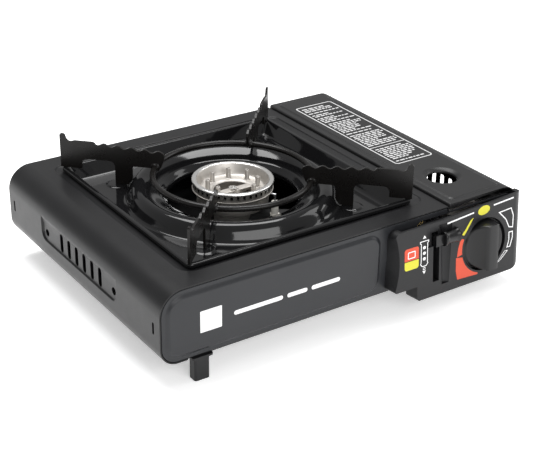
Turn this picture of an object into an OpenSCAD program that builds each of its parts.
// Portable butane camping stove: a steel case on four feet, with a drip tray, a pan support and a
// round burner on the left, and a gas cartridge bay under a hinged lid on the right.
// X runs along the width, the controls face -Y, Z is up, and the origin is on the surface the
// feet stand on, under the centre of the whole stove.

/* [Case] */
// Width of the case
body_w = 343; // [330:1:360]
// Depth of the steel case, without the control panel
body_d = 258; // [250:1:270]
// Height of the steel case from its underside to its top plate
shell_h = 61; // [58:1:66]
// Height of the case's underside above the ground
foot_h = 21; // [18:1:26]
// Thickness of the sheet steel
sheet = 1; // [0.8:0.1:1.4]
// Radius of the fold between the left wall and the top plate
fold_r = 20; // [14:1:24]
// Radius of the case's lower left edge
sill_r = 15; // [8:1:18]
// Left edge of the cartridge lid
seam_x = 97.5; // [94:0.5:100]

/* [Tray and pan support] */
// Side of the square drip tray
tray_w = 210.8; // [200:0.2:216]
// Place of the burner and tray centre across the width
tray_x = -27.4; // [-32:0.2:-24]
// Radius of the tray's central hole
tray_hole_r = 55; // [46:1:58]
// Radius of the raised crest around the burner
crest_r = 78; // [72:1:82]
// Height of the fins' level top above the top plate
rest_h = 26.5; // [22:0.5:32]
// Radius of the pan support's wire ring
ring_r = 66; // [60:1:68]
// Thickness of the ring's wire
wire_d = 5; // [4:0.5:6]

/* [Burner] */
// Radius of the burner head
burner_r = 34.3; // [30:0.1:38]
// Number of flame slots
flame_slots = 40; // [24:2:48]
// Number of posts inside the head
head_posts = 8; // [6:1:10]

/* [Controls] */
// Angle by which the control panel's face leans back
lean = 5; // [0:0.5:8]
// Height of the knob's centre on the face
knob_z = 44.4; // [42:0.2:48]
// Place of the knob across the width
knob_x = 128.5; // [126:0.5:132]
// Radius of the knob
knob_r = 21.5; // [18:0.5:22]
// How far the knob's grip stands in front of the face
grip_out = 11; // [8:0.5:14]
// How far the lock lever slides down
lever_travel = 30; // [26:1:30]
// How far the cartridge pusher moves when the lever locks
push_travel = 8; // [6:0.5:9]

/* [Hidden] */
$fn = 64;
top_z = foot_h + shell_h;
left_x = -body_w / 2;
right_x = body_w / 2;
seam_gap = 0.7;
fit = sheet + 0.2;
// Bay for the cartridge, deeper than the rest of the case
bay_z = 13;
bay_r = 14;
bay_step_x0 = 60;
bay_step_x1 = 68;
wall_top = 60;
cart_r = 33;
cart_length = 184;
cart_x = 134.3;
cart_z = bay_z + 3 + cart_r;
// Lid and its hinge line
lid_z = top_z + 2;
lid_r = 15;
bead_r = 4.2;
hinge_x = right_x - bead_r;
hinge_z = 65;
pin_r = 2;
end_clear = 1.5;
// Control panel face: its depth in front of the case at the top and where the leaning face meets z
face_top_z = 77;
face_out = 9;
panel_wall = 2.5;
panel_foot = 13;
step_x = 57;
knob_gap = 1.5;
recess_deep = 6;
// y of the leaning face at a given height, measured from the middle of the steel case
function face_y(z) = -body_d / 2 - face_out - (face_top_z - z) * tan(lean);
knob_front = -(face_y(knob_z) - grip_out * cos(lean) - knob_r * sin(lean));
body_y = (knob_front - body_d / 2) / 2;
front_y = -body_d / 2;
back_y = body_d / 2;
// Lock lever, at the top of its slot
lever_x = 76.3;
lever_z = 61.5;
cam_x = 99;
// Gas path: from the regulator's outlet to the burner
gas_z = 50;
gas_turn = atan2(-98, 139.4);

// ---- shared shapes ----

// Moves a shape drawn around the middle of the steel case to its place
module in_case() {
    translate([0, body_y, 0]) children();
}

// Extrudes a section drawn in x and z between two depths
module along_depth(y0, y1) {
    translate([0, y1, 0]) rotate([90, 0, 0]) linear_extrude(y1 - y0) children();
}

// The waste outside a rounded lower left corner
module corner_waste(r) {
    if (r > 0) {
        difference() {
            translate([-1, -1]) square(r + 1);
            translate([r, r]) circle(r);
        }
    }
}

// Rectangle with its own radius at each corner: lower left, lower right, upper right, upper left
module plate(x0, z0, x1, z1, r) {
    difference() {
        translate([x0, z0]) square([x1 - x0, z1 - z0]);
        translate([x0, z0]) corner_waste(r[0]);
        translate([x1, z0]) mirror([1, 0]) corner_waste(r[1]);
        translate([x1, z1]) rotate(180) corner_waste(r[2]);
        translate([x0, z1]) mirror([0, 1]) corner_waste(r[3]);
    }
}

// Square of side w with corners of radius r, about the origin
module soft_square(w, r) {
    plate(-w / 2, -w / 2, w / 2, w / 2, [r, r, r, r]);
}

// Upright slot with round ends
module slot_shape(w, h) {
    square([w, h - w], center = true);
    for (s = [-1, 1]) translate([0, s * (h - w) / 2]) circle(w / 2);
}

// Places a shape on the leaning face: local Z leaves the face, local Y climbs it
module on_face(x, z) {
    translate([x, face_y(z), z]) rotate([90 - lean, 0, 0]) children();
}

// Places a shape whose local Z runs along the gas path, from the burner towards the regulator
module on_gas_path(d) {
    translate([tray_x, 0, gas_z]) rotate([0, 0, gas_turn]) translate([d, 0, 0])
        rotate([0, 90, 0]) children();
}

// Pan head screw, head up, shank down, on the plane z = 0
module screw(r, length) {
    difference() {
        union() {
            cylinder(r = 2 * r, h = r);
            translate([0, 0, -length]) cylinder(r = r, h = length);
        }
        translate([0, 0, r]) cube([2.4 * r, 0.6 * r, r], center = true);
        translate([0, 0, r]) cube([0.6 * r, 2.4 * r, r], center = true);
    }
}

// ---- tube swept along a route ----

function unit(v) = v / norm(v);
function route_dir(p, i) = unit(p[min(i + 1, len(p) - 1)] - p[max(i - 1, 0)]);
function side_of(t) = unit(cross(t, abs(t[2]) > 0.9 ? [1, 0, 0] : [0, 0, 1]));
function ring_at(p, i, r, n) =
    let (t = route_dir(p, i), u = side_of(t), v = cross(t, u))
    [for (k = [0:n - 1]) p[i] + r * (cos(360 * k / n) * u + sin(360 * k / n) * v)];
// Point on a smooth curve through the route, s counted in legs
function curve_at(p, s) =
    let (
        n = len(p) - 1, i = min(floor(s), n - 1), t = s - i,
        a = p[max(i - 1, 0)], b = p[i], c = p[i + 1], d = p[min(i + 2, n)]
    )
    0.5 * (2 * b + (c - a) * t + (2 * a - 5 * b + 4 * c - d) * t * t + (3 * b - a - 3 * c + d) * t * t * t);
function smooth(p, steps) = [for (k = [0:(len(p) - 1) * steps]) curve_at(p, k / steps)];

module swept(p, r, n) {
    rings = len(p);
    points = [for (i = [0:rings - 1]) each ring_at(p, i, r, n)];
    sides = [
        for (i = [0:rings - 2]) for (k = [0:n - 1])
        [i * n + k, i * n + (k + 1) % n, (i + 1) * n + (k + 1) % n, (i + 1) * n + k]
    ];
    caps = [[for (k = [n - 1:-1:0]) k], [for (k = [0:n - 1]) (rings - 1) * n + k]];
    polyhedron(points, concat(sides, caps));
}

// ---- steel case ----

top_drop = 2.5;
recess = [-140.5, -111.5, 88.5, 111.5];
recess_r = 12;
tray_hole = 206.4;
vent_y0 = -64;
vent_y1 = 66;
vent_z = 43;
vent_deep = 1.4;
vent_top = 64;

module casing_section() {
    difference() {
        plate(left_x, foot_h, seam_x - seam_gap, top_z, [sill_r, 0, 0, fold_r]);
        plate(left_x + sheet, foot_h + sheet, seam_x - seam_gap - sheet, top_z - sheet,
            [sill_r - sheet, 0, 0, fold_r - sheet]);
        // The floor is open beyond the lower fold, and the flange at the seam is short
        translate([left_x + sill_r + 8, foot_h - 1]) square([body_w, shell_h - 7]);
    }
}

module recess_outline(grow) {
    plate(recess[0] - grow, recess[1] - grow, recess[2] + grow, recess[3] + grow,
        [for (k = [0:3]) recess_r + grow]);
}

// Sunk band around the tray opening
module recess_band() {
    translate([0, 0, top_z - top_drop]) difference() {
        linear_extrude(top_drop) recess_outline(sheet);
        translate([0, 0, sheet]) linear_extrude(top_drop) recess_outline(0);
    }
}

// Sunk panel that carries the vents in a side wall
module vent_recess(x, y0, y1, grow) {
    translate([x, 0, 0]) rotate([90, 0, 90]) linear_extrude(vent_deep + 30)
        plate(y0 - grow, vent_z - grow, y1 + grow, vent_top + grow, [8 + grow, 8 + grow, 0, 0]);
}

module side_vents(x) {
    for (k = [0:5]) {
        translate([x, -35 + k * 13.2, 52.4]) rotate([90, 0, 90]) linear_extrude(20, center = true)
            slot_shape(5.5, 16.5);
    }
}

module casing() {
    color("#2b2b2d") in_case() difference() {
        union() {
            difference() {
                along_depth(front_y, back_y) casing_section();
                translate([0, 0, top_z - 10]) linear_extrude(20) recess_outline(0);
                intersection() {
                    vent_recess(left_x - 30, vent_y0, vent_y1, 0);
                    translate([left_x - 1, -100, 0]) cube([vent_deep + 1, 200, top_z]);
                }
            }
            recess_band();
            // Floor of the vent recess, joined to the wall around it
            intersection() {
                translate([left_x + vent_deep - 0.01, vent_y0 - 1, vent_z - 1])
                    cube([sheet, vent_y1 - vent_y0 + 2, vent_top - vent_z + 2]);
                along_depth(front_y, back_y)
                    plate(left_x, foot_h, seam_x - seam_gap, top_z, [sill_r, 0, 0, fold_r]);
            }
            intersection() {
                translate([left_x, vent_y0 - 1, vent_z - 1]) cube([vent_deep, vent_y1 - vent_y0 + 2, 24]);
                difference() {
                    vent_recess(left_x - 1, vent_y0, vent_y1, 1);
                    vent_recess(left_x - 2, vent_y0, vent_y1, 0);
                }
                along_depth(front_y, back_y)
                    plate(left_x, foot_h, seam_x - seam_gap, top_z, [sill_r, 0, 0, fold_r]);
            }
        }
        // Opening that the tray hangs in
        translate([tray_x, 0, top_z - 10]) linear_extrude(20) soft_square(tray_hole, 8);
        side_vents(left_x);
        // Round holes at the ends of the vent panel, and the tab slots near the corners
        for (y = [-57.5, 57.5]) translate([left_x, y, 51]) rotate([0, 90, 0])
            cylinder(r = 3.2, h = 12, center = true);
        for (y = [-119.5, 119.5]) translate([left_x, y, 50.5]) cube([8, 2.6, 9.5], center = true);
    }
}

// Outline shared by the front and rear panels, inside the case and under the lid
module end_outline() {
    plate(left_x + fit, foot_h + fit, seam_x - seam_gap - fit, top_z - fit,
        [sill_r - fit, 0, 0, fold_r - fit]);
    plate(bay_step_x1 + 2, bay_z + fit, right_x - fit, top_z - 4, [0, bay_r - fit, lid_r - 3, 0]);
}

module hinge_hole(y) {
    translate([hinge_x, y, hinge_z]) rotate([90, 0, 0]) cylinder(r = pin_r, h = 6, center = true);
}

emboss_rise = 2;

// Raised field of the front panel, with sloped edges
module front_emboss() {
    hull() {
        along_depth(front_y - 0.01, front_y) plate(-167, 27, 29, 77, [12, 7, 7, 15]);
        along_depth(front_y - emboss_rise, front_y - emboss_rise + 0.01)
            plate(-164.5, 29.5, 26.5, 74.5, [10, 5, 5, 13]);
    }
}

module front_panel() {
    color("#34363a") in_case() {
        difference() {
            along_depth(front_y, front_y + sheet) end_outline();
            // Window behind the controls, and the lid's hinge pin
            along_depth(front_y - 1, front_y + 2) plate(64, 24, 166, 59, [4, 4, 4, 4]);
            along_depth(front_y - 1, front_y + 2) plate(64, 24, 158, 76, [4, 4, 4, 4]);
            hinge_hole(front_y);
            for (z = boss_z) on_face(boss_x, z) translate([0, 0, -20]) cylinder(r = screw_r + 0.3, h = 20);
        }
        front_emboss();
    }
}

module rear_panel() {
    color("#2b2b2d") in_case() difference() {
        along_depth(back_y - sheet, back_y) end_outline();
        for (k = [0:8]) {
            along_depth(back_y - 5, back_y + 5) translate([-80 + k * 13.2, 52]) slot_shape(5.5, 16.5);
        }
        hinge_hole(back_y);
    }
}

pan_flange_h = 6;
module base_pan() {
    pan_x = left_x + sill_r + 8.2;
    pan_w = bay_step_x0 - left_x - sill_r - 8.4;
    flange_x = foot_left_x + 6;
    color("#26262a") in_case() difference() {
        union() {
            translate([pan_x, front_y + fit, foot_h]) cube([pan_w, body_d - 2 * fit, sheet]);
            // Flanges turned up inside the front and rear panels, clear of the foot screws
            for (y = [front_y + fit, back_y - fit - sheet]) {
                translate([flange_x, y, foot_h]) cube([pan_x + pan_w - flange_x, sheet, pan_flange_h]);
            }
        }
        // Air holes under the burner
        for (i = [-2:2]) for (j = [-2:2]) {
            if (abs(i) + abs(j) > 1) {
                translate([tray_x + i * 26, j * 22, foot_h]) cylinder(r = 5, h = 6, center = true);
            }
        }
        for (y = foot_left_y) translate([foot_left_x, y, foot_h]) cylinder(r = 2, h = 6, center = true);
    }
}

module bay_region(inset) {
    plate(bay_step_x1, bay_z + inset, right_x - inset, top_z, [0, bay_r - inset, 0, 0]);
    polygon([
        [bay_step_x0, foot_h + inset], [bay_step_x0 + inset, foot_h + inset],
        [bay_step_x1 + inset, bay_z + inset], [bay_step_x1 + inset, top_z], [bay_step_x0, top_z]
    ]);
}

module bay_shell() {
    color("#2b2b2d") in_case() difference() {
        along_depth(front_y + fit, back_y - fit) difference() {
            bay_region(0);
            bay_region(sheet);
            translate([bay_step_x0 - 1, wall_top]) square([body_w, shell_h]);
            translate([bay_step_x0 - 1, foot_h + sheet]) square([3, shell_h]);
        }
        for (k = [0:5]) {
            translate([right_x, -49 + k * 10.7, 49]) rotate([90, 0, 90]) linear_extrude(20, center = true)
                slot_shape(5, 18);
        }
        for (y = foot_right_y) translate([foot_right_x, y, bay_z]) cylinder(r = 2, h = 6, center = true);
    }
}

module partition_wall() {
    color("#9a9a98") in_case() translate([seam_x - seam_gap - 2 * sheet, -82, bay_z + sheet])
        cube([sheet, 82 + back_y - fit, top_z - sheet - bay_z - sheet]);
}

// ---- feet ----

// Foot with its flange against the underside, whose height above the ground is h
module foot(h) {
    difference() {
        union() {
            linear_extrude(h - 1) plate(-6.5, -4.7, 6.5, 4.7, [2, 2, 2, 2]);
            translate([0, 0, h - 1.6]) linear_extrude(1.6) plate(-9, -6, 9, 5, [2, 2, 2, 2]);
        }
        translate([0, 0, h - 9]) cylinder(r = 1.6, h = 10);
    }
}

foot_left_x = -136.3;
foot_left_y = [-124.5, 122.5];
foot_right_x = 148;
foot_right_y = [-108, 108];

module foot_front_left() {
    color("#3c3e42") in_case() translate([foot_left_x, foot_left_y[0], 0]) foot(foot_h);
}
module foot_rear_left() {
    color("#3c3e42") in_case() translate([foot_left_x, foot_left_y[1], 0]) rotate(180) foot(foot_h);
}
module foot_front_right() {
    color("#3c3e42") in_case() translate([foot_right_x, foot_right_y[0], 0]) foot(bay_z);
}
module foot_rear_right() {
    color("#3c3e42") in_case() translate([foot_right_x, foot_right_y[1], 0]) rotate(180) foot(bay_z);
}
module foot_screws() {
    color("#b8bcc0") in_case() {
        for (y = foot_left_y) translate([foot_left_x, y, foot_h + sheet]) screw(1.6, 9);
        for (y = foot_right_y) translate([foot_right_x, y, bay_z + sheet]) screw(1.6, 9);
    }
}

// ---- control panel ----

// Height measured up the leaning face from the panel's lowest edge
function up(z) = (z - panel_foot) / cos(lean);

panel_left = 34;
// Lever slot: its lower and upper end, measured up the face from the lever
slot_low_end = -36;
slot_high_end = 6.5;
scoop_r = 75;
// Screws that hold the panel from behind the steel front
boss_x = 50;
boss_z = [36, 66];
screw_r = 1.4;
function boss_depth(z) = (front_y + sheet - face_y(z)) / cos(lean) + 0.4;

module face_outline() {
    difference() {
        union() {
            plate(panel_left, up(26), 90, up(face_top_z), [2, 0, 0, 6]);
            plate(step_x, up(panel_foot), right_x, up(face_top_z), [3, 14, 6, 0]);
            plate(84, up(60), right_x, up(82), [0, 0, 6, 0]);
        }
        // The top edge climbs towards the right
        polygon([[84, up(77.2)], [right_x + 1, up(81.4)], [right_x + 1, up(90)], [84, up(90)]]);
    }
}

// Solid behind the face, rounded along the panel's right edge
module panel_block() {
    intersection() {
        on_face(0, panel_foot) translate([0, 0, -26]) linear_extrude(26) face_outline();
        on_face(0, panel_foot) translate([0, -20, 0]) rotate([-90, 0, 0]) linear_extrude(140)
            plate(0, 0, right_x, 60, [0, 10, 0, 0]);
    }
}

module panel_hollow() {
    intersection() {
        on_face(0, panel_foot) translate([0, 0, -40]) linear_extrude(40 - panel_wall) {
            plate(panel_left + 6.5, up(29), 90, up(74), [2, 0, 0, 4]);
            plate(step_x + 3, up(panel_foot + 3), right_x - 6, up(74.5), [1, 11, 9, 0]);
            // The top is open behind the face
            plate(panel_left + 8, up(60), right_x - 7, up(90), [0, 0, 0, 0]);
        }
        translate([0, -200, 0]) cube([200, 200, 100]);
    }
}

module control_panel() {
    color("#303034") in_case() difference() {
        union() {
            difference() {
                panel_block();
                panel_hollow();
            }
            // Sunk cup behind the knob
            intersection() {
                on_face(knob_x, knob_z) translate([0, 0, -recess_deep - 2.5])
                    cylinder(r = knob_r + 4, h = recess_deep + 1);
                panel_block();
            }
            // Back of the thumb channel beside the lever slot
            intersection() {
                on_face(82, 47) translate([0, 0, -6]) cube([34, 56, 8], center = true);
                panel_block();
            }
            // Screw bosses
            for (z = boss_z) on_face(boss_x, z) translate([0, 0, -15]) cylinder(r = 4, h = 14);
        }
        // Everything behind the steel front
        translate([0, front_y - 0.2, 0]) cube([400, 60, 100]);
        // Knob recess and the stem's hole
        on_face(knob_x, knob_z) translate([0, 0, -recess_deep])
            cylinder(r = knob_r + knob_gap, h = recess_deep + 3);
        on_face(knob_x, knob_z) translate([0, 0, -10]) cylinder(r = 4.5, h = 12);
        // Lever slot, its wide mouth and the thumb channel
        on_face(lever_x, lever_z) translate([-3.2, slot_low_end, -20])
            cube([6.4, slot_high_end - slot_low_end, 30]);
        on_face(lever_x, lever_z) translate([-10.5, -4.5, -2.2]) cube([17.5, 17, 8]);
        on_face(86.4, lever_z) translate([0, -40.5, 2.2]) rotate([-90, 0, 0])
            cylinder(r1 = 4.4, r2 = 7, h = 53);
        // Finger scoop in the left side, deepest at the front edge
        on_face(panel_left + 4.5 - scoop_r / cos(20), 51.5) rotate([0, 20, 0])
            cylinder(r = scoop_r, h = 80, center = true);
        for (z = boss_z) on_face(boss_x, z) translate([0, 0, -20]) cylinder(r = screw_r, h = 17);
    }
}

module panel_screws() {
    color("#b8bcc0") in_case() for (z = boss_z) {
        on_face(boss_x, z) translate([0, 0, -boss_depth(z)]) rotate([180, 0, 0]) screw(screw_r, 8);
    }
}

// ---- burner ----

burner_top = 6.2;
slot_low = 0.5;
slot_high = 3.7;
bar_top = -4.4;

module burner_head() {
    color("#c9c6c0") in_case() translate([tray_x, 0, top_z]) {
        difference() {
            union() {
                rotate_extrude() polygon([
                    [16, -6], [22, -14], [30, -14], [30, -3], [burner_r - 0.8, -2.2],
                    [burner_r - 0.8, 0], [burner_r, 4.2], [burner_r, burner_top], [burner_r - 4.2, burner_top],
                    [burner_r - 5, -1], [17, -4]
                ]);
                for (k = [0:head_posts - 1]) rotate(360 * (k + 0.5) / head_posts)
                    translate([21, 0, -6]) cylinder(r = 1.9, h = burner_top + 5.6);
                translate([-18, -3.5, bar_top - 3]) cube([36, 7, 3]);
            }
            for (k = [0:flame_slots - 1]) rotate(360 * k / flame_slots)
                translate([burner_r - 3, -1.1, slot_low]) cube([6, 2.2, slot_high - slot_low]);
            for (k = [0:head_posts - 1]) rotate(360 * (k + 0.5) / head_posts)
                translate([21, 0, 0]) cylinder(r = 0.8, h = 10);
            translate([0, 0, -10]) cylinder(r = 2.1, h = 10);
        }
    }
}

module burner_base() {
    color("#b9b7b2") in_case() difference() {
        translate([tray_x, 0, 0]) rotate_extrude() polygon([
            [0, 38], [16, 38], [16, 59], [28.5, 66], [28.5, 68], [25.5, 68], [13, 61], [13, 42], [6, 42],
            [6, 71], [0, 71]
        ]);
        translate([tray_x, 0, 60]) cylinder(r = 1.7, h = 14);
        on_gas_path(8) cylinder(r = 9, h = 20);
    }
}

module burner_screw() {
    color("#d8d8d6") in_case() translate([tray_x, 0, top_z + bar_top]) screw(1.7, 16);
}

module burner_bracket() {
    color("#8f9092") in_case() translate([tray_x, 0, 0]) {
        translate([-27, -14, 36]) cube([54, 28, 2]);
        for (s = [-1, 1]) {
            translate([s * 26 - 1, -14, foot_h + sheet]) cube([2, 28, 36 - foot_h - sheet]);
            translate([s * 31 - 6, -14, foot_h + sheet]) cube([12, 28, 2]);
        }
        // Arm that carries the electrode
        rotate(-60) translate([8, -4, 36]) cube([37, 8, 2]);
        rotate(-60) translate([43, -4, 36]) cube([2, 8, 26]);
        rotate(-60) difference() {
            translate([35, -4, 60]) cube([10, 8, 2]);
            translate([39, 0, 50]) cylinder(r = 3, h = 20);
        }
    }
}

module mixing_tube() {
    color("#a9aaa8") in_case() difference() {
        union() {
            on_gas_path(13.5) cylinder(r = 9, h = 112);
            on_gas_path(124) cylinder(r = 12, h = 14);
        }
        on_gas_path(10) cylinder(r = 7.6, h = 118);
        on_gas_path(126) cylinder(r = 10.6, h = 14);
        for (a = [0:90:270]) on_gas_path(131) rotate(a) rotate([0, 90, 0]) cylinder(r = 2.6, h = 20);
    }
}

module gas_jet() {
    color("#c79b45") in_case() difference() {
        union() {
            on_gas_path(144) cylinder(r1 = 2.5, r2 = 4, h = 5);
            on_gas_path(149) cylinder(r = 6, h = 6, $fn = 6);
            on_gas_path(155) cylinder(r = 4, h = 8);
        }
        on_gas_path(140) cylinder(r = 0.5, h = 30);
    }
}

// ---- regulator, valve and cartridge socket ----

reg_y = -104.2;
reg_z = 47;
module regulator_body() {
    color("#9c9fa3") in_case() difference() {
        union() {
            translate([112, -118, 30]) cube([34, 30, 34]);
            translate([145, reg_y, reg_z]) rotate([0, 90, 0]) cylinder(r = 20, h = 4);
            on_gas_path(160) cylinder(r = 7, h = 17);
            translate([cart_x, -88, cart_z]) rotate([-90, 0, 0]) cylinder(r = 14, h = 4);
            on_face(knob_x, knob_z) translate([0, 0, -26]) cylinder(r = 8, h = 6);
            // Arm that holds the igniter
            on_face(knob_x, knob_z) translate([-16.5, -4.5, -25]) cube([4.5, 9, 6.5]);
        }
        on_gas_path(150) cylinder(r = 4, h = 13);
        on_face(knob_x, knob_z) translate([0, 0, -40]) cylinder(r = 3.05, h = 30);
        translate([cart_x, -92, cart_z]) rotate([-90, 0, 0]) cylinder(r = 4, h = 12);
        translate([143, reg_y, reg_z]) rotate([0, 90, 0]) cylinder(r = 13, h = 10);
        for (a = [45:90:315]) translate([145, reg_y, reg_z]) rotate([a, 0, 0]) translate([-3, 0, 17])
            rotate([0, 90, 0]) cylinder(r = 1.3, h = 10);
    }
}

module diaphragm() {
    color("#1e1e1e") in_case() translate([149, reg_y, reg_z]) rotate([0, 90, 0]) difference() {
        cylinder(r = 20, h = 0.8);
        for (a = [45:90:315]) rotate(a) translate([17, 0, -1]) cylinder(r = 1.3, h = 4);
    }
}

module regulator_cap() {
    color("#b7babd") in_case() translate([149.8, reg_y, reg_z]) rotate([0, 90, 0]) difference() {
        union() {
            cylinder(r = 20, h = 2);
            cylinder(r = 14, h = 10);
        }
        translate([0, 0, -1]) cylinder(r = 12.5, h = 9.5);
        for (a = [45:90:315]) rotate(a) translate([17, 0, -1]) cylinder(r = 1.3, h = 4);
        cylinder(r = 1, h = 20);
    }
}

module regulator_screws() {
    color("#d8d8d6") in_case() translate([151.8, reg_y, reg_z]) rotate([0, 90, 0])
        for (a = [45:90:315]) rotate(a) translate([17, 0, 0]) screw(1.3, 8);
}

coil_turns = 4;
module regulator_spring() {
    steps = 14 * coil_turns;
    color("#a8abad") in_case() translate([151, reg_y, reg_z]) rotate([0, 90, 0])
        swept([for (k = [0:steps]) let (a = k * 360 / 14) [6 * cos(a), 6 * sin(a), 6.2 * k / steps]], 0.6, 8);
}

socket_r = 9;
seal_r = 6;
module valve_socket() {
    color("#c79b45") in_case() translate([cart_x, -84, cart_z]) rotate([-90, 0, 0]) difference() {
        cylinder(r = 13, h = 8);
        translate([0, 0, -1]) cylinder(r = 2, h = 12);
        translate([0, 0, 0.5]) cylinder(r = seal_r + 0.05, h = 12);
        translate([0, 0, 2.5]) cylinder(r = socket_r, h = 12);
    }
}

module socket_seal() {
    color("#202020") in_case() translate([cart_x, -83.5, cart_z]) rotate([-90, 0, 0]) difference() {
        cylinder(r = seal_r, h = 2);
        translate([0, 0, -1]) cylinder(r = 2.5, h = 4);
    }
}

// ---- ignition ----

cam_shift = 3;
cam_r = 7;

module piezo_igniter() {
    color("#e9e4d8") in_case() on_face(knob_x, knob_z) translate([-24.5, -4.5, -18.5]) difference() {
        cube([12.5, 9, 8]);
        translate([4, 4.5, 4]) rotate([0, 90, 0]) cylinder(r = 2.55, h = 10);
    }
}

module piezo_plunger() {
    color("#c0392b") in_case() on_face(knob_x, knob_z) translate([-5.5, 0, -14.5]) rotate([0, -90, 0])
        cylinder(r = 2.5, h = 8.6);
}

electrode_a = -60;
module ignition_electrode() {
    color("#c8c8c8") in_case() translate([tray_x, 0, 0]) rotate(electrode_a) {
        translate([39, 0, 57]) cylinder(r = 0.9, h = 24);
        translate([35.2, 0, 81]) rotate([0, 90, 0]) cylinder(r = 0.9, h = 4.7);
    }
}

module electrode_insulator() {
    color("#f0ece2") in_case() translate([tray_x, 0, 0]) rotate(electrode_a) translate([39, 0, 59])
    difference() {
        union() {
            cylinder(r = 3, h = 16);
            translate([0, 0, 3]) cylinder(r = 4, h = 2);
        }
        translate([0, 0, -1]) cylinder(r = 0.9, h = 20);
    }
}

lead_route = [
    [110, -126, 38.4], [110, -125, 33], [110, -114, 25], [107, -98, 22], [96, -88, 22], [80, -76, 26],
    [50, -64, 28], [20, -56, 28], [-6, -51, 33], [-15.5, -44, 42], [-13.7, -37.7, 47],
    [-10.5, -35.3, 50.5], [-7.9, -33.8, 53.5], [-7.9, -33.8, 56.9]
];
module ignition_lead() {
    color("#d9d2c0") in_case() swept(smooth(lead_route, 5), 1.2, 8);
}

// ---- knob ----

module valve_stem() {
    color("#c79b45") in_case() on_face(knob_x, knob_z) {
        translate([0, 0, -34]) cylinder(r = 3, h = 34);
        // Cam that drives the igniter's plunger
        translate([cam_shift * cos(45), cam_shift * sin(45), -17.5]) cylinder(r = cam_r, h = 6);
    }
}

module control_knob() {
    color("#222224") in_case() on_face(knob_x, knob_z) difference() {
        union() {
            translate([0, 0, 1 - recess_deep]) cylinder(r = knob_r, h = recess_deep - 2);
            translate([0, 0, -1]) cylinder(r1 = knob_r, r2 = knob_r - 1, h = 1);
            intersection() {
                translate([-7, -knob_r, -1]) cube([14, 2 * knob_r, grip_out + 1]);
                cylinder(r = knob_r, h = 3 * grip_out, center = true);
            }
        }
        translate([0, 0, -recess_deep]) cylinder(r = 3, h = recess_deep);
    }
}

// ---- cartridge lock ----

module lock_lever() {
    color("#26262a") in_case() on_face(lever_x, lever_z) {
        // Blade through the slot and its plate behind the panel
        translate([-2.6, -5, -15.5]) cube([5.2, 10, 18.5]);
        translate([-2.6, -4.5, 0.5]) cube([9, 9, 2.5]);
        translate([-2.6, -6, -18]) cube([19, 12, 2.6]);
        translate([13.9, -5, -29.5]) cube([2.5, 10, 12]);
        // Thumb grip: a half round bar across the channel
        translate([5.4, 0, 0.5]) rotate([0, 90, 0]) difference() {
            cylinder(r = 6.4, h = 16.4);
            translate([0, -10, -1]) cube([20, 20, 30]);
        }
        // Pin that works the pusher's cam slot
        translate([16.4, 0, -27]) rotate([0, 90, 0]) cylinder(r = 2, h = 9.4);
    }
}

// The cam slot leans so that the pusher moves forward as the pin goes down
pin_shift = lever_travel * sin(lean);
pin_top = face_y(lever_z) + 27 * cos(lean);
pin_top_z = lever_z - 27 * sin(lean);
// Face the cartridge's collar rests on, and the pusher's plate with the lever up
seat_y = -81.5;
plate_y = seat_y + cart_length + push_travel;
module cartridge_pusher() {
    slot_end = [pin_top - pin_shift + push_travel, pin_top_z - lever_travel * cos(lean)];
    slot_dir = slot_end - [pin_top, pin_top_z];
    color("#8f9092") in_case() {
        translate([98.5, -117, bay_z + sheet + 0.3]) cube([6, plate_y + 2 + 117, 2]);
        translate([98.5, plate_y, bay_z + sheet + 2]) cube([50, 2, 42]);
        difference() {
            translate([cam_x, -117, bay_z + sheet + 2]) cube([2, 18, 57]);
            translate([cam_x - 1, pin_top, pin_top_z]) rotate([0, 90, 0]) cylinder(r = 2.25, h = 4);
            translate([cam_x - 1, slot_end[0], slot_end[1]]) rotate([0, 90, 0]) cylinder(r = 2.25, h = 4);
            translate([cam_x - 1, pin_top, pin_top_z]) rotate([atan2(slot_dir[1], slot_dir[0]), 0, 0])
                translate([0, 0, -2.25]) cube([4, norm(slot_dir), 4.5]);
        }
    }
}

module cartridge_cradles() {
    color("#9a9a98") in_case() for (y = [-45, 75]) {
        difference() {
            translate([110, y - 6, bay_z + sheet]) cube([48, 12, 4]);
            translate([cart_x, y, cart_z]) rotate([90, 0, 0])
                cylinder(r = cart_r + 0.2, h = 20, center = true);
        }
    }
}

// ---- lid ----

module lid_section(inset) {
    plate(seam_x + inset, hinge_z - 2 * inset, right_x - inset, lid_z - inset,
        [0, 0, lid_r - inset, 0]);
}

hole_x = 127.7;
hole_y = -84.2;

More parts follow.
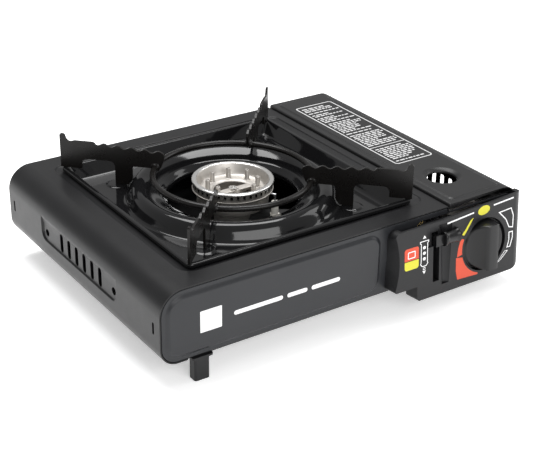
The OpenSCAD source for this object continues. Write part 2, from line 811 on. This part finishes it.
module lid() {
    color("#2b2b2d") in_case() difference() {
        union() {
            along_depth(front_y, back_y) difference() {
                lid_section(0);
                lid_section(sheet);
                translate([seam_x - 1, 0]) square([lid_r + 40, lid_z - 5]);
            }
            // Turned-down ends
            for (y = [front_y, back_y - sheet]) along_depth(y, y + sheet) difference() {
                lid_section(0.2);
                translate([0, 0]) square([400, lid_z - 5]);
            }
            // Raised field
            translate([0, 0, lid_z - 0.01]) linear_extrude(1)
                plate(103, front_y + 5, 157, back_y - 5, [4, 4, 4, 4]);
            // Rolled edge that turns on the hinge pins
            translate([hinge_x, back_y - end_clear, hinge_z]) rotate([90, 0, 0])
                cylinder(r = bead_r, h = body_d - 2 * end_clear);
        }
        // Hinge bore, and the ends cut back so that they clear the panels
        translate([hinge_x, 0, hinge_z]) rotate([90, 0, 0])
            cylinder(r = pin_r + 0.05, h = body_d + 2, center = true);
        for (s = [-1, 1]) translate([150, s * (back_y - end_clear / 2), hinge_z - 3.6])
            cube([60, end_clear, 15.2], center = true);
        // Dimple and viewing hole
        translate([hole_x, hole_y, lid_z - 8]) cylinder(r = 12.5, h = 20);
        translate([hole_x, hole_y, lid_z]) cylinder(r1 = 12.5, r2 = 16, h = 1.01);
        // Finger notch at the back of the seam
        translate([seam_x - 1, back_y - 9, lid_z - 8]) cube([5, 10, 12]);
    }
}

module hinge_pins() {
    color("#b8bcc0") in_case() for (s = [-1, 1]) {
        translate([hinge_x, s * (back_y - 7), hinge_z]) rotate([90, 0, 0])
            cylinder(r = pin_r, h = 14, center = true);
    }
}

// ---- drip tray ----

tray_lip = 1.8;
tray_floor = -10;
tray_t = 1.2;
leg_r = 94;

tray_base_w = 188;
tray_mouth_w = 202;

// The dish's sloping walls meet in mitred corners: its inner shape, or its outer one when grown
module tray_dish(grow) {
    low = tray_base_w / 2 + grow;
    high = tray_mouth_w / 2 + grow;
    intersection_for (turn = [0, 90]) {
        rotate(turn) rotate([90, 0, 0]) linear_extrude(tray_w, center = true) polygon([
            [-low, tray_floor - grow], [low, tray_floor - grow],
            [high, tray_lip + 0.2], [-high, tray_lip + 0.2]
        ]);
    }
}

module drip_tray() {
    color("#121214") in_case() translate([tray_x, 0, top_z]) difference() {
        union() {
            difference() {
                union() {
                    translate([0, 0, -1.4]) linear_extrude(tray_lip + 1.4) soft_square(tray_w, 4);
                    tray_dish(tray_t);
                }
                tray_dish(0);
                translate([0, 0, -20]) cylinder(r = 88, h = 40);
            }
            // Raised crest and the bowl that drops to the central hole
            rotate_extrude() polygon([
                [89, tray_floor], [crest_r + 5, 0], [crest_r, 2.5], [crest_r - 4, 2], [62, -3],
                [tray_hole_r + 2, -6], [tray_hole_r, -8], [tray_hole_r, -12], [tray_hole_r + tray_t, -12],
                [tray_hole_r + tray_t, -8.5], [tray_hole_r + 2.8, -7.4], [62, -3 - 1.4 * tray_t],
                [crest_r - 4, 2 - 1.3 * tray_t], [crest_r, 2.5 - 1.4 * tray_t],
                [crest_r + 4, -1.2 - 0.7 * tray_t], [87.4, tray_floor - tray_t], [89, tray_floor - tray_t]
            ]);
            // Seats for the fins' middle legs
            for (a = [45:90:315]) rotate(a) translate([leg_r + 6, 0, tray_floor - 0.01])
                cylinder(r = 9, h = 1);
        }
        translate([0, 0, -30]) cylinder(r = tray_hole_r, h = 60);
    }
}

// ---- pan support ----

ring_z = 11.5;
fin_t = 2;
fin_out = 148.5;
bump_from = 60;
bump_to = 117;
bump_pitch = 11.8;

function bump_z(r) = 22.2 + (r - bump_from) * 0.05 + 1.1 * cos((r - 63) * 360 / bump_pitch);

module fin_profile() {
    difference() {
        polygon(concat(
            [
                [fin_out, 2], [fin_out, 31], [fin_out - 1, 32], [fin_out - 3.6, 32], [fin_out - 4.4, 31],
                [143, rest_h + 1], [140.5, rest_h - 1], [138.5, rest_h - 0.9], [136, rest_h], [121, rest_h]
            ],
            [for (k = [0:38]) let (r = bump_to - k * (bump_to - bump_from) / 38) [r, bump_z(r)]],
            [
                [58, 20], [58.5, 16], [61, ring_z - 2.5], [ring_r + 3.5, ring_z - 3.5],
                [86, ring_z - 3.5], [86, -3.8], [89.6, -8.9], [101, -8.9], [101, 2]
            ]
        ));
        // Window between the middle and the outer leg
        plate(101, -1, 130, 11, [0, 0, 5, 5]);
        translate([ring_r, ring_z - wire_d / 2]) circle(wire_d / 2 + 0.05);
    }
}

module fin(angle) {
    color("#101012") in_case() translate([tray_x, 0, top_z]) rotate(angle)
        rotate([90, 0, 0]) linear_extrude(fin_t, center = true) fin_profile();
}

module fin_rear_left() { fin(135); }
module fin_front_left() { fin(225); }
module fin_front_right() { fin(315); }
module fin_rear_right() { fin(45); }

module support_ring() {
    color("#101012") in_case() translate([tray_x, 0, top_z + ring_z - wire_d / 2])
        rotate_extrude() translate([ring_r, 0]) circle(wire_d / 2);
}

casing();
front_panel();
rear_panel();
base_pan();
bay_shell();
partition_wall();
foot_front_left();
foot_front_right();
foot_rear_left();
foot_rear_right();
foot_screws();
control_panel();
panel_screws();
burner_head();
burner_base();
burner_screw();
burner_bracket();
mixing_tube();
gas_jet();
regulator_body();
regulator_cap();
regulator_screws();
diaphragm();
regulator_spring();
valve_socket();
socket_seal();
valve_stem();
control_knob();
piezo_igniter();
piezo_plunger();
ignition_electrode();
electrode_insulator();
ignition_lead();
lock_lever();
cartridge_pusher();
cartridge_cradles();
lid();
hinge_pins();
drip_tray();
support_ring();
fin_rear_left();
fin_front_left();
fin_front_right();
fin_rear_right();
